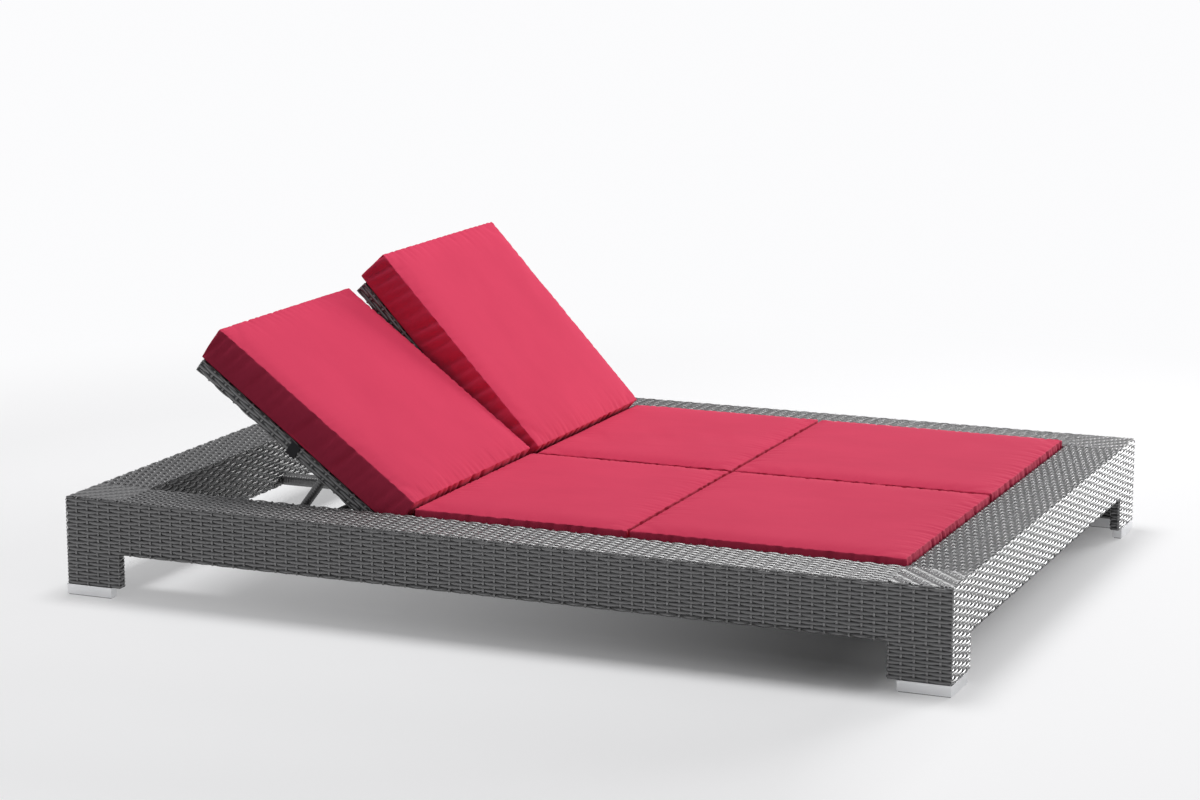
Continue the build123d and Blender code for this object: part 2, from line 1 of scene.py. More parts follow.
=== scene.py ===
import bpy
import json
import numpy as np
from math import cos, pi, radians, sin
from mathutils import Matrix, Vector


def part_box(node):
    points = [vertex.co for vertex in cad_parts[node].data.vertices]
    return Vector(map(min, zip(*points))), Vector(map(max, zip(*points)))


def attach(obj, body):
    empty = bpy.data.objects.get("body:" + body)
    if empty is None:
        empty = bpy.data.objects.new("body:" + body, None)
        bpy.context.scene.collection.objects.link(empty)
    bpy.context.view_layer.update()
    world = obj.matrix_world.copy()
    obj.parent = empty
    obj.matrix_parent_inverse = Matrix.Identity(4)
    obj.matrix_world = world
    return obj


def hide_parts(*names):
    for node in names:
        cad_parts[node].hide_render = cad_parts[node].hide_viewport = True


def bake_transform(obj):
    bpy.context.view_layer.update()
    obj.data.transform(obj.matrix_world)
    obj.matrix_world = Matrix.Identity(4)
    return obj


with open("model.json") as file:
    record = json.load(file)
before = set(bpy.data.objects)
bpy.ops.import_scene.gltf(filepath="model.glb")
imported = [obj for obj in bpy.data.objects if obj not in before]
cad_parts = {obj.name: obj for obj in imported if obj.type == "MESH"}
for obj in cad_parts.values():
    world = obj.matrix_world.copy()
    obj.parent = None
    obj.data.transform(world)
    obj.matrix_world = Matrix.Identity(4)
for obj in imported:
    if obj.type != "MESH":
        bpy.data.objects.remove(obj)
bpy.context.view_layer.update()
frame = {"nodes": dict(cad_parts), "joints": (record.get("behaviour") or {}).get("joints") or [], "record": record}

# Woven covers of the long rails.
# Flat resin strands run along each rail, over one stake and under the next. Stakes are narrower
# strands bent round the rail. All ends are tucked in, over the welded frame that carries them.
mm = 0.001
strand_pitch = 8.1 * mm
stake_pitch = 25.6 * mm
strand_fill_share = 0.94
strand_crown = 1.8 * mm
strand_dip = 3.2 * mm
dip_sharpness = 1.5
strand_tones = 0.35
stake_width = 5.4 * mm
stake_crown = 1.5 * mm
stake_seen_depth = -0.2 * mm
stake_hidden_depth = 3.6 * mm
# The stakes are painted lighter than the strands: a painted highlight for the light that their edges catch.
stake_highlight_tone = 0.8
liner_depth = 6.0 * mm
liner_tone = 0.0
edge_round = 6 * mm
inner_edge_round = 4 * mm
arc_steps = 6
width_shares = np.array([-1, -0.6, 0, 0.6, 1])
crown_shares = np.array([1, 0.32, 0.05, 0.32, 1])
wander = 0.3 * mm
wander_length = 0.31
wander_rates = (0.7, 1.5)
unevenness = 0.15 * mm
belt_rows = 16
belt_steps = 6
corner_stakes = 10
dice = np.random.default_rng(7)

side_low, side_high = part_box("rail_cover_left")
rail_width = side_high.x - side_low.x
rail_bottom, rail_top = side_low.z, side_high.z
half_width = -side_low.x
half_length = side_high.y
bay_half_width = half_width - rail_width
bay_half_length = half_length - rail_width
sides = {"left": -1, "right": 1}


class Wire:
    """An output of a shader node. Arithmetic on it adds Math nodes."""

    def __init__(self, finish, socket):
        self.finish = finish
        self.socket = socket

    def math(self, operation, left, right):
        return self.finish.node("ShaderNodeMath", {"operation": operation}, {0: left, 1: right})

    def __add__(self, other):
        return self.math("ADD", self, other)

    def __sub__(self, other):
        return self.math("SUBTRACT", self, other)

    def __rsub__(self, other):
        return self.math("SUBTRACT", other, self)

    def __mul__(self, other):
        return self.math("MULTIPLY", self, other)

    def __rpow__(self, other):
        return self.math("POWER", other, self)

    def __abs__(self):
        return self.math("ABSOLUTE", self, 0.0)

    def larger(self, other):
        return self.math("MAXIMUM", self, other)

    __radd__ = __add__
    __rmul__ = __mul__


class Finish:
    """A material of the lounger: a node tree put together by expressions."""

    def __init__(self, name):
        self.material = bpy.data.materials.new(name)
        self.material.use_nodes = True
        self.tree = self.material.node_tree
        self.tree.nodes.clear()

    def node(self, kind, settings=None, inputs=None, output=0):
        """Add a node with its settings and the values or wires of its inputs; gives one output."""
        made = self.tree.nodes.new(kind)
        for name, value in (settings or {}).items():
            setattr(made, name, value)
        for name, value in (inputs or {}).items():
            if isinstance(value, Wire):
                self.tree.links.new(value.socket, made.inputs[name])
            else:
                made.inputs[name].default_value = value
        return Wire(self, made.outputs[output]) if made.outputs else None

    def noise(self, vector, scales, detail, roughness=0.5):
        """Noise that changes as often in a metre along each axis as its scales say."""
        scaled = self.node("ShaderNodeVectorMath", {"operation": "MULTIPLY"}, {
            0: vector, 1: scales})
        return self.node("ShaderNodeTexNoise", None, {
            "Vector": scaled, "Scale": 1.0, "Detail": detail, "Roughness": roughness})

    def blend(self, share, first, second):
        """Mix of two colours by a share. Sockets 6, 7 and 2 are a Mix node's colour sockets."""
        return self.node("ShaderNodeMix", {"data_type": "RGBA"}, {
            0: share, 6: (*first, 1), 7: (*second, 1)}, 2)

    def bump(self, height, distance, strength):
        return self.node("ShaderNodeBump", None, {
            "Height": height, "Distance": distance, "Strength": strength})

    def place(self):
        """Place in the object's own frame, in metres."""
        return self.node("ShaderNodeTexCoord", None, None, "Object")

    def surface(self, **inputs):
        """The finished surface, from the inputs of its shader."""
        inputs = {name.replace("_", " "): value for name, value in inputs.items()}
        shader = self.node("ShaderNodeBsdfPrincipled", None, inputs)
        self.node("ShaderNodeOutputMaterial", None, {"Surface": shader})
        return self.material


def resin_strand():
    """Extruded resin strand: anthracite with fine lengthwise streaks and a soft gloss. Its stakes and crosswise
    twill strands get painted highlights through their tone.
    """
    finish = Finish("resin_strand")
    lay = finish.node("ShaderNodeAttribute", {"attribute_name": "lay"}, None, "Vector")
    tone = finish.node("ShaderNodeSeparateXYZ", None, {0: lay}, "Z")
    streaks = finish.noise(lay, (60, 1900, 300), detail=3.0, roughness=0.6)
    patches = finish.noise(lay, (9, 9, 50), detail=1.0)
    # tone holds each strand's own tone and also the painted highlights of the stakes and of the crosswise twill
    # strands.
    shade = streaks * 0.4 + patches * 0.25 + tone * 0.9 - 0.28
    return finish.surface(
        Base_Color=finish.blend(shade, (0.047, 0.046, 0.048), (0.185, 0.183, 0.186)),
        Roughness=0.30 + streaks * 0.16,
        Specular_IOR_Level=1.0,
        IOR=1.8,
        Normal=finish.bump(streaks, 0.3 * mm, 0.5),
    )


strand_finish = resin_strand()


def rounded_line(corners, radius, closed=False):
    """Length of a line with rounded corners, and where its points and right-hand normals lie."""
    corners = [np.array(corner, float) for corner in corners]
    last = len(corners) - 1
    points, normals = [], []
    for number, corner in enumerate(corners):
        entry = corner - corners[number - 1]
        leave = corners[(number + 1) % len(corners)] - corner
        if not closed and number in (0, last):
            heading = leave if number == 0 else entry
            points.append(corner)
            normals.append(np.array([heading[1], -heading[0]]) / np.linalg.norm(heading))
            continue
        entry = entry / np.linalg.norm(entry)
        leave = leave / np.linalg.norm(leave)
        for step in range(arc_steps + 1):
            turn = step / arc_steps * pi / 2
            points.append(corner - radius * (entry * (1 - sin(turn)) - leave * (1 - cos(turn))))
            heading = entry * cos(turn) + leave * sin(turn)
            normals.append(np.array([heading[1], -heading[0]]))
    if closed:
        points.append(points[0])
        normals.append(normals[0])
    points, normals = np.array(points), np.array(normals)
    reaches = np.linalg.norm(np.diff(points, axis=0), axis=1)
    places = np.concatenate([[0], np.cumsum(reaches)])

    def at(place):
        found = [np.interp(place, places, column) for column in (*points.T, *normals.T)]
        size = np.hypot(found[2], found[3])
        return found[0], found[1], found[2] / size, found[3] / size

    return places[-1], at


def turned(at):
    """The same line with its normals on the other side."""
    def other(place):
        x, y, normal_x, normal_y = at(place)
        return x, y, -normal_x, -normal_y
    return other


def standing(line, profile):
    """Surface of a wall along a level line, with an upright profile of (inset, z)."""
    def surface(along, across):
        x, y, normal_x, normal_y = line(along)
        inset, z, inward, up = profile(across)
        points = np.stack([x - normal_x * inset, y - normal_y * inset, z], axis=-1)
        return points, np.stack([-normal_x * inward, -normal_y * inward, up], axis=-1)
    return surface


def drawn(profile, start, place=Matrix.Identity(4)):
    """Surface of a profile of (x, z) drawn along y from a start, in the frame of a matrix."""
    turn = np.array(place.to_3x3())
    shift = np.array(place.translation)

    def surface(along, across):
        x, z, normal_x, normal_z = profile(across)
        points = np.stack([x, along + start, z], axis=-1)
        normals = np.stack([normal_x, np.zeros_like(x), normal_z], axis=-1)
        return points @ turn.T + shift, normals @ turn.T
    return surface


def new_object(name, data):
    """Object of the scene from a mesh, a camera or a lamp."""
    made = bpy.data.objects.new(name, data)
    bpy.context.scene.collection.objects.link(made)
    return made


def settle(made, body, node):
    """Put a piece on its body, in place of a CAD node."""
    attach(made, body)
    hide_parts(node)


class Wickerwork:
    """Strands, stakes and liner gathered into one mesh."""

    def __init__(self):
        self.points, self.quads, self.lay = [], [], []
        self.count = 0

    def add(self, surface, along, across, height, tone):
        """Add strips, as arrays of (strips, steps, points over the width), with their tones."""
        points, normals = surface(along, across)
        index = np.arange(along.size).reshape(along.shape) + self.count
        corners = [index[:, :-1, :-1], index[:, 1:, :-1], index[:, 1:, 1:], index[:, :-1, 1:]]
        quads = np.stack(corners, axis=-1)
        edge = points[:, 1:, :-1] - points[:, :-1, :-1]
        rung = points[:, :-1, 1:] - points[:, :-1, :-1]
        if (np.cross(edge, rung) * normals[:, :-1, :-1]).sum() < 0:
            quads = quads[..., ::-1]
        tones = np.broadcast_to(np.asarray(tone)[:, None, None], along.shape)
        self.points.append((points + normals * height[..., None]).reshape(-1, 3))
        self.lay.append(np.stack([along, across, tones], axis=-1).reshape(-1, 3))
        self.quads.append(quads.reshape(-1, 4))
        self.count += along.size

    def add_sheet(self, surface, along, across, height, tone):
        """Add one plain sheet between given places along and across a surface."""
        along, across = np.meshgrid(along, across, indexing="ij")
        self.add(surface, along[None], across[None], np.full((1, *along.shape), height), [tone])

    def piece(self, name, body, node):
        """Finish the mesh as a woven piece that rides on a body and stands for a CAD node."""
        mesh = bpy.data.meshes.new(name)
        quads = np.concatenate(self.quads)
        mesh.from_pydata(np.concatenate(self.points).tolist(), [], quads.tolist())
        lay = mesh.attributes.new("lay", "FLOAT_VECTOR", "POINT")
        lay.data.foreach_set("vector", np.concatenate(self.lay).ravel())
        mesh.shade_smooth()
        mesh.materials.append(strand_finish)
        settle(new_object(name, mesh), body, node)


def drift(count, places):
    """Slow sideways drift of each strand along its run."""
    phase = dice.uniform(0, 2 * pi, (count, 1, 1))
    rate = dice.uniform(*wander_rates, (count, 1, 1))
    return wander * np.sin(places * rate * 2 * pi / wander_length + phase)


def weave(cover, surface, length, breadth, rows, stakes, knots=None, steps=5, liner=True, hem=0):
    """Lay strands along a surface and stakes across it. knots pairs places with stake numbers."""
    pitch = breadth / rows
    counted = np.linspace(0, stakes, stakes * steps + 1)
    places, numbers = knots if knots else ((0, length), (0, stakes))
    run = np.interp(counted, numbers, places)
    row = np.arange(rows)
    lift = np.cos(pi * (counted[None, :] + row[:, None]))
    depth = strand_dip * ((1 - lift) / 2) ** dip_sharpness
    along = np.broadcast_to(run[None, :, None], (rows, len(run), len(width_shares)))
    half = pitch * strand_fill_share / 2
    across = (row[:, None, None] + 0.5) * pitch + half * width_shares + drift(rows, along)
    across = np.clip(across, 0, breadth - hem)
    height = dice.uniform(-unevenness, 0, (rows, 1, 1)) - depth[..., None]
    height = height - strand_crown * crown_shares
    cover.add(surface, along, across, height, strand_tones * dice.random(rows))

    stake = np.arange(stakes + 1)
    halves = np.arange(2 * rows + 1) / 2
    over = np.cos(pi * (stake[:, None] + halves[None, :] - 0.5))
    depth = stake_seen_depth + (stake_hidden_depth - stake_seen_depth) * (1 + over) / 2
    centre = np.interp(stake, numbers, places)[:, None, None]
    shape = (len(stake), len(halves), len(width_shares))
    across = np.broadcast_to(halves[None, :, None] * pitch, shape)
    across = np.clip(across, 0, breadth - hem)
    along = np.clip(centre + stake_width / 2 * width_shares + 0 * across, 0, length)
    # The stakes' light tone is a painted highlight.
    tones = stake_highlight_tone + (1 - stake_highlight_tone) * dice.random(len(stake))
    cover.add(surface, along, across, -depth[..., None] - stake_crown * crown_shares, tones)

    if liner:
        lengthwise = np.interp(np.arange(stakes + 1), numbers, places)
        crosswise = np.linspace(0, breadth, 2 * rows + 1)
        cover.add_sheet(surface, lengthwise, crosswise, -liner_depth, liner_tone)


def even(value):
    """Nearest even whole number."""
    return 2 * round(value / 2)


def channel(way, inner, outer):
    """Profile over a rail's top, down its inner face and under it, from the platform's middle."""
    line = [(way * (outer - edge_round), rail_top), (way * inner, rail_top)]
    line += [(way * inner, rail_bottom), (way * outer, rail_bottom)]
    breadth, profile = rounded_line(line, inner_edge_round)
    return breadth, profile if way > 0 else turned(profile)


belt_line = [(0, rail_bottom), (0, rail_top), (edge_round, rail_top)]
belt_breadth, belt_profile = rounded_line(belt_line, edge_round)
belt_profile = turned(belt_profile)
side_stakes = even(2 * bay_half_length / stake_pitch)

for side_name, side in sides.items():
    node = f"rail_cover_{side_name}"
    inner_x, outer_x = side * bay_half_width, side * half_width
    corners = [(inner_x, -half_length), (outer_x, -half_length)]
    corners += [(outer_x, half_length), (inner_x, half_length)]
    run, line = rounded_line(corners, edge_round)
    corner_run = (run - 2 * bay_half_length) / 2
    places = (0, corner_run, run - corner_run, run)
    numbers = (0, corner_stakes, corner_stakes + side_stakes, 2 * corner_stakes + side_stakes)
    belt = Wickerwork()
    surface = standing(line if side > 0 else turned(line), belt_profile)
    knots = places, numbers
    weave(belt, surface, run, belt_breadth, belt_rows, numbers[-1], knots, steps=belt_steps)
    belt.piece(f"rail_belt_{side_name}", "platform", node)

    breadth, profile = channel(side, bay_half_width, half_width)
    rows = round(breadth / strand_pitch)
    trough = Wickerwork()
    weave(trough, drawn(profile, -bay_half_length), 2 * bay_half_length, breadth, rows, side_stakes)
    trough.piece(f"rail_top_{side_name}", "platform", node)

# Woven covers of the short rails.
# They're woven like the long ones, with strands along X, and butt against the corners of the long
# covers. The foot rail's belt ends with a narrow hem below its top.
ends = {"foot": -1, "head": 1}
end_stakes = even(2 * bay_half_width / stake_pitch)
quarter_turn = Matrix.Rotation(-pi / 2, 4, "Z")
foot_hem = 3.5 * mm

for end_name, end in ends.items():
    node = f"rail_cover_{end_name}"
    end_y = end * half_length
    run, line = rounded_line([(-bay_half_width, end_y), (bay_half_width, end_y)], edge_round)
    belt = Wickerwork()
    surface = standing(turned(line) if end > 0 else line, belt_profile)
    hem = foot_hem if end < 0 else 0
    weave(belt, surface, run, belt_breadth, belt_rows, end_stakes, steps=belt_steps, hem=hem)
    belt.piece(f"rail_belt_{end_name}", "platform", node)

    breadth, profile = channel(-end, bay_half_length, half_length)
    surface = drawn(profile, -bay_half_width, quarter_turn)
    trough = Wickerwork()
    weave(trough, surface, 2 * bay_half_width, breadth, round(breadth / strand_pitch), end_stakes)
    trough.piece(f"rail_top_{end_name}", "platform", node)

# Corner squares on top of the platform.
# The strands of both rails cross there in a twill, three over and two under, whose steps run
# along the mitre. They're the ends of the rails' own strands, tucked in at the edges.
twill_rows = 16
twill_repeat = 5
twill_over = 3
twill_dip = 1.7 * mm
twill_steps = 3
twill_tones = 0.2
# The crosswise strands are painted light and the lengthwise ones dark: painted highlight and painted shade on two
# copies of one strand, which make the twill's stripes.
crosswise_lit_tone = 0.8
lengthwise_shaded_tone = 0.0
square_breadth = rail_width - edge_round


def twill(cover, surface, over, tone):
    """Lay one of a twill's two sets of strands. over tells where a strand is on top at a cell."""
    pitch = square_breadth / twill_rows
    counted = np.linspace(0, twill_rows, twill_rows * twill_steps + 1)
    row = np.arange(twill_rows)
    centres = row + 0.5
    lift = np.array([np.interp(counted, centres, over(row, number)) for number in row])
    shape = (twill_rows, len(counted), len(width_shares))
    along = np.broadcast_to((counted * pitch)[None, :, None], shape)
    half = pitch * strand_fill_share / 2
    across = (row[:, None, None] + 0.5) * pitch + half * width_shares + 0 * along
    height = -twill_dip * (1 - lift[..., None]) - strand_crown * crown_shares
    cover.add(surface, along, across, height, tone + twill_tones * dice.random(twill_rows))


def crosswise_over(cell, number):
    return (((cell - number) % twill_repeat) < twill_over).astype(float)


def lengthwise_over(cell, number):
    return 1 - (((number - cell) % twill_repeat) < twill_over).astype(float)


def square(side, end, lengthwise):
    """Level surface of one corner, with its strands along X or along Y."""
    def surface(along, across):
        x, y = (across, along) if lengthwise else (along, across)
        places = side * (bay_half_width + x), end * (bay_half_length + y), np.full_like(x, rail_top)
        points = np.stack(places, axis=-1)
        return points, np.broadcast_to(np.array([0.0, 0.0, 1.0]), points.shape)
    return surface


for side_name, side in sides.items():
    for end_name, end in ends.items():
        corner = Wickerwork()
        twill(corner, square(side, end, False), crosswise_over, crosswise_lit_tone)
        twill(corner, square(side, end, True), lengthwise_over, lengthwise_shaded_tone)
        edges = np.array([0, square_breadth])
        corner.add_sheet(square(side, end, False), edges, edges, -liner_depth, liner_tone)
        corner.piece(f"corner_{end_name}_{side_name}", "platform", f"rail_cover_{side_name}")

# Woven leg covers.
# Each is a sleeve round an angle-shaped leg, woven on from the belt, so that its stakes line up
# with the rail's. The foot cap covers its lower end.
leg_rows = 10
leg_stakes = 20
leg_thickness = 26 * mm

for side_name, side in sides.items():
    for end_name, end in ends.items():
        node = f"leg_cover_{end_name}_{side_name}"
        low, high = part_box(node)
        outline = [(rail_width, 0), (0, 0), (0, rail_width), (leg_thickness, rail_width)]
        outline += [(leg_thickness, leg_thickness), (rail_width, leg_thickness)]
        corners = [(side * (half_width - x), end * (half_length - y)) for x, y in outline]
        run, line = rounded_line(corners, edge_round, closed=True)
        line = line if side * end < 0 else turned(line)
        height, profile = rounded_line([(0, low.z), (0, high.z)], edge_round)
        surface = standing(line, turned(profile))
        knots = (0, corner_run, run), (0, corner_stakes, leg_stakes)
        sleeve = Wickerwork()
        weave(sleeve, surface, run, height, leg_rows, leg_stakes, knots, steps=belt_steps)
        sleeve.piece(f"leg_weave_{end_name}_{side_name}", "platform", node)

# Woven skin of the seat panel.
# One sheet is drawn over both long edges and laced below, so the weave shows from under the
# platform. The cushions hide its top, which is a plain sheet here.
seat_steps = 3
seat_top_depth = 1 * mm
seat_top_tone = 0.2
seat_low, seat_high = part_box("seat_weave")
seat_half = seat_high.x
seat_length = seat_high.y - seat_low.y
seat_stakes = even(seat_length / stake_pitch)

for side_name, side in sides.items():
    line = [(side * seat_half, seat_high.z), (side * seat_half, seat_low.z), (0, seat_low.z)]
    breadth, profile = rounded_line(line, inner_edge_round)
    surface = drawn(turned(profile) if side > 0 else profile, seat_low.y)
    rows = even(breadth / strand_pitch)
    skin = Wickerwork()
    weave(skin, surface, seat_length, breadth, rows, seat_stakes, steps=seat_steps)
    skin.piece(f"seat_skin_{side_name}", "platform", "seat_weave")

top_line = [(-seat_half, seat_high.z), (seat_half, seat_high.z)]
surface = drawn(turned(rounded_line(top_line, edge_round)[1]), seat_low.y)
seat_top = Wickerwork()
seat_top.add_sheet(surface, (0, seat_length), (0, 2 * seat_half), -seat_top_depth, seat_top_tone)
seat_top.piece("seat_top", "platform", "seat_weave")

# Woven skins of the two backrests.
# A mat is stretched over the tube frame and wound round its four border tubes, with the middle
# open below. Both skins are laid out flat here and turned up to their resting angle.
bar_round = 5 * mm
bar_pitch = 7.4 * mm
bar_stake_pitch = 36 * mm
bar_width = 31 * mm
half_bar = bar_width / 2
back_gap = 8 * mm
back_side_gap = 4 * mm
back_start = 12 * mm
back_end = 608 * mm
back_length = back_end - back_start
back_stakes = even(back_length / bar_stake_pitch)
mat_steps = 4
mat_length = back_length - 2 * bar_width
mat_stakes = even(mat_length / stake_pitch)
joints = {joint["name"]: joint for joint in frame["joints"]}


def bar_section(middle):
    """Closed section of a wound border tube, in the backrest's own frame."""
    low, high = middle - half_bar, middle + half_bar
    line = [(low, -half_bar), (low, half_bar), (high, half_bar), (high, -half_bar)]
    girth, profile = rounded_line(line, bar_round, closed=True)
    return girth, turned(profile)


back_frames = {}
for side_name, side in sides.items():
    body, node = f"back_{side_name}", f"back_weave_{side_name}"
    hinge = joints[f"back_{side_name}_hinge"]
    angle = radians(-hinge["range_deg"][0])
    lying = Matrix.Translation(Vector(hinge["pos_m"])) @ Matrix.Rotation(angle, 4, "X")
    back_frames[side_name] = lying
    low_x, high_x = sorted((side * back_gap / 2, side * (bay_half_width - back_side_gap)))
    border = Wickerwork()
    for middle in (low_x + half_bar, high_x - half_bar):
        girth, profile = bar_section(middle)
        surface = drawn(profile, back_start, lying)
        weave(border, surface, back_length, girth, even(girth / bar_pitch), back_stakes)
    inner_width = high_x - low_x - 2 * bar_width
    inner_stakes = even(inner_width / stake_pitch)
    for middle in (back_start + half_bar, back_end - half_bar):
        girth, profile = bar_section(-middle)
        surface = drawn(profile, low_x + bar_width, lying @ quarter_turn)
        weave(border, surface, inner_width, girth, even(girth / bar_pitch), inner_stakes)
    border.piece(f"back_border_{side_name}", body, node)

    line = [(low_x + bar_width, half_bar), (high_x - bar_width, half_bar)]
    breadth, profile = rounded_line(line, bar_round)
    surface = drawn(turned(profile), back_start + bar_width, lying)
    rows = even(breadth / strand_pitch)
    mat = Wickerwork()
    weave(mat, surface, mat_length, breadth, rows, mat_stakes, steps=mat_steps, liner=False)
    mat.piece(f"back_mat_{side_name}", body, node)

# Wound covers of the centre beam and of the props' legs.
# One flat strand is wound round each tube, turn beside turn, so the tubes look ribbed. Its ends
# are tucked under the first and the last turn.
winding_pitch = 6.6 * mm
winding_relief = 0.9 * mm
winding_sharpness = 3
winding_steps = 6
winding_sides = 32
winding_tone = 0.3
beam_round = 6 * mm


def wind(cover, profile, girth, start, length, place=Matrix.Identity(4)):
    """Ribbed cover of a tube: a strand wound round a profile, drawn along y from a start."""
    turns = round(length / winding_pitch)
    lengthwise = np.linspace(0, length, turns * winding_steps + 1)
    crosswise = np.linspace(0, girth, winding_sides + 1)
    along, across = np.meshgrid(lengthwise, crosswise, indexing="ij")
    turn = (along / length * turns + across / girth) % 1
    height = -winding_relief * np.abs(2 * turn - 1) ** winding_sharpness
    surface = drawn(profile, start, place)
    cover.add(surface, along[None], across[None], height[None], [winding_tone])


low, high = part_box("centre_beam_wrap")
line = [(low.x, low.z), (low.x, high.z), (high.x, high.z), (high.x, low.z)]
girth, profile = rounded_line(line, beam_round, closed=True)
beam_cover = Wickerwork()
wind(beam_cover, turned(profile), girth, low.y, high.y - low.y)
beam_cover.piece("beam_winding", "platform", "centre_beam_wrap")

leg_radius = 10 * mm
leg_offset = 256.5 * mm
leg_start = 17 * mm
leg_length = 177 * mm
back_middle = (bay_half_width - back_side_gap + back_gap / 2) / 2
turn_ratio = -frame["record"]["behaviour"]["couplings"][0]["ratio"]

for side_name, side in sides.items():
    pivot = Vector(joints[f"prop_{side_name}_pivot"]["pos_m"])
    angle = radians(-joints[f"back_{side_name}_hinge"]["range_deg"][0])
    hanging = Matrix.Translation(pivot) @ Matrix.Rotation(angle * (1 - turn_ratio), 4, "X")
    leg_cover = Wickerwork()
    for way in (-1, 1):
        x = side * back_middle + way * leg_offset
        line = [(x - leg_radius, -leg_radius), (x - leg_radius, leg_radius)]
        line += [(x + leg_radius, leg_radius), (x + leg_radius, -leg_radius)]
        girth, profile = rounded_line(line, leg_radius, closed=True)
        wind(leg_cover, turned(profile), girth, leg_start, leg_length, hanging)
    leg_cover.piece(f"prop_winding_{side_name}", f"prop_{side_name}", f"prop_wrap_{side_name}")

# Powder-coated tubes, beams, ears and racks.
# They're welded aluminium, sprayed dark grey before weaving. The coat has a fine orange-peel
# surface.


def powder_coat():
    finish = Finish("powder_coat")
    place = finish.place()
    peel = finish.noise(place, (900, 900, 900), detail=2.0)
    dust = finish.noise(place, (14, 14, 14), detail=4.0, roughness=0.6)
    return finish.surface(
        Base_Color=finish.blend(dust, (0.040, 0.041, 0.044), (0.075, 0.076, 0.080)),
        Roughness=0.42 + dust * 0.15,
        Normal=finish.bump(peel, 0.12 * mm, 0.6),
    )


def dress(pieces, finish):
    """Give a finish to the CAD nodes whose names start with the words in pieces."""
    for name, made in frame["nodes"].items():
        if name.startswith(pieces) and not name.endswith("_wrap"):
            made.data.materials.clear()
            made.data.materials.append(finish)


welded = ("side_frame", "foot_frame", "head_frame", "leg_core", "centre_beam", "foot_beam",
          "seat_beam", "hinge_beam", "seat_frame", "back_frame", "hinge_ear", "prop_frame", "rack")
dress(welded, powder_coat())

# Foot caps.
# Each is a folded and welded aluminium sheet, brushed level, and screwed under its leg.


def brushed_aluminium():
    finish = Finish("brushed_aluminium")
    place = finish.place()
    brush = finish.noise(place, (12, 12, 2600), detail=3.0, roughness=0.7)
    smear = finish.noise(place, (20, 20, 60), detail=2.0)
    shade = brush * 0.7 + smear * 0.3
    return finish.surface(
        Base_Color=finish.blend(shade, (0.66, 0.665, 0.675), (0.88, 0.885, 0.895)),
        Metallic=1.0,
        Roughness=0.26 + brush * 0.16,
        Normal=finish.bump(brush, 0.05 * mm, 0.5),
    )


dress("foot_cap", brushed_aluminium())

# Glides and prop catches.
# They're small mouldings of black plastic with a fine grain. The glides fill the foot caps from
# below, and the catches are clipped on each prop.


def moulded_plastic():
    finish = Finish("moulded_plastic")
    grain = finish.noise(finish.place(), (1400, 1400, 1400), detail=2.0)
    return finish.surface(
        Base_Color=finish.blend(grain, (0.012, 0.012, 0.013), (0.022, 0.022, 0.024)),
        Roughness=0.45 + grain * 0.2,
        Normal=finish.bump(grain, 0.06 * mm, 0.5),
    )


dress(("glides", "prop_catches"), moulded_plastic())

# Cap bolts, hinge pins and prop pins.
# They're turned from plain stainless steel, so fine rings run round them.


def stainless_steel():
    finish = Finish("stainless_steel")
    rings = finish.noise(finish.place(), (2500, 300, 300), detail=2.0)
    return finish.surface(
        Base_Color=finish.blend(rings, (0.50, 0.50, 0.51), (0.66, 0.66, 0.67)),
        Metallic=1.0,
        Roughness=0.28 + rings * 0.15,
    )


dress(("cap_bolts", "hinge_pins", "prop_pins"), stainless_steel())

# Cushion straps.
# They're black woven elastic, sewn into loops round the backrests' side bars.


def webbing():
    """Woven elastic: fine ribs across the strap."""
    finish = Finish("webbing")
    ribs = finish.node("ShaderNodeTexWave", {"bands_direction": "X"}, {
        "Vector": finish.place(), "Scale": 260.0, "Distortion": 1.5, "Detail": 1.0})
    return finish.surface(
        Base_Color=finish.blend(ribs, (0.010, 0.010, 0.012), (0.030, 0.030, 0.034)),
        Roughness=0.85,
        Normal=finish.bump(ribs, 0.25 * mm, 0.7),
    )


dress("cushion_straps", webbing())

# Seat cushions.
# Each is a foam slab in a boxed cover of raspberry red polyester: a top and a bottom joined by a
# side strip, whose seams draw the cloth into short gathers. They lie loose on the panel.
cell = 12 * mm
seam_round = 4.5 * mm
seam_ring_share = 0.3
seam_held = 2 * mm
pressure = 2.0
slack = -0.004
cloth_quality = 5
last_frame = 20
seat_side_gap = 0.8 * mm
floor_gap = 0.4 * mm
seat_swell = (2.4 * mm, 2.4 * mm, 6 * mm)
seat_flatness = 3 * mm
hinge_cushion_y = {"left": 227 * mm, "right": 218 * mm}
ripple_waves = 8
ripple_rates = (0.6, 1.7)
gather_wave = 24 * mm
gather_reach = 26 * mm
gather_depth = 3.2 * mm
gather_slant = 0.1
gather_fade = 55
stitch_fade = 900
wrinkle_wave = 38 * mm
wrinkle_depth = 6.5 * mm
wrinkle_slant = 0.25
drape_wave = 210 * mm
drape_depth = 1.7 * mm
drape_heading = (0.5, -0.86)
drape_slant = 0.3
upward_share = 0.7


